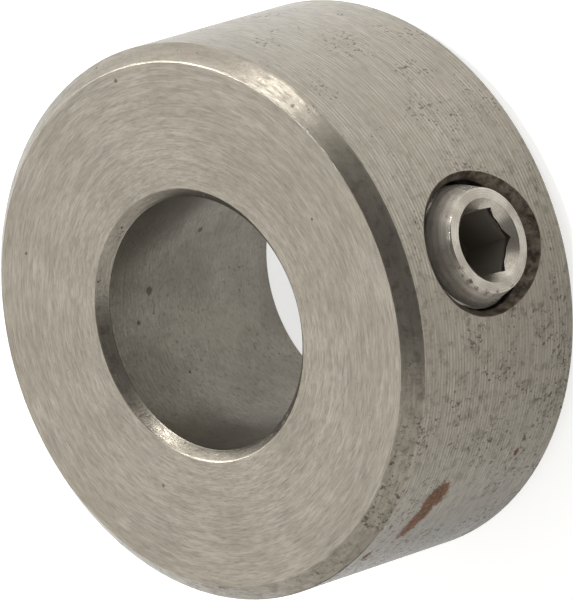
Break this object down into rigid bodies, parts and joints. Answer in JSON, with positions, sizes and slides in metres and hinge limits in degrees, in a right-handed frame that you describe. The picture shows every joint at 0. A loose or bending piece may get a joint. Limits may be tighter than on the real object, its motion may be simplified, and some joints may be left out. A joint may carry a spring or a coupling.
{
  "type": "shaft collar",
  "caption": "Solid turned steel ring that slides onto a round shaft and is locked there by a hexagon-socket set screw in a tapped, countersunk radial hole.",
  "frame": {"origin": "on the bore's axis at the middle of the ring's width, where the set screw's axis crosses it", "axes": "+Z along the bore, towards the front face; +X along the set screw, outwards; +Y completes a right-handed frame"},
  "size_m": [0.0223, 0.022, 0.01],
  "materials": {
    "turned_steel": "turned, with fine feed ridges and light specks of rust",
    "bright_screw_steel": "bright"
  },
  "bodies": {
    "collar": {"collar_ring": "turned_steel"},
    "screw_feed": {"set_screw_point": "bright_screw_steel"},
    "screw": {"set_screw": "bright_screw_steel"}
  },
  "joints": [
    {"name": "set_screw_feed", "type": "slide", "parent": "collar", "child": "screw_feed", "axis": [1, 0, 0], "range_m": [-0.0012, 0.0016]},
    {"name": "set_screw_turn", "type": "hinge", "parent": "screw_feed", "child": "screw", "pos_m": [0.0083, 0, 0], "axis": [1, 0, 0], "range_deg": [-540, 720]}
  ],
  "couplings": [
    {"joint": "set_screw_turn", "follows": "set_screw_feed", "rad_per_m": 7854}
  ]
}
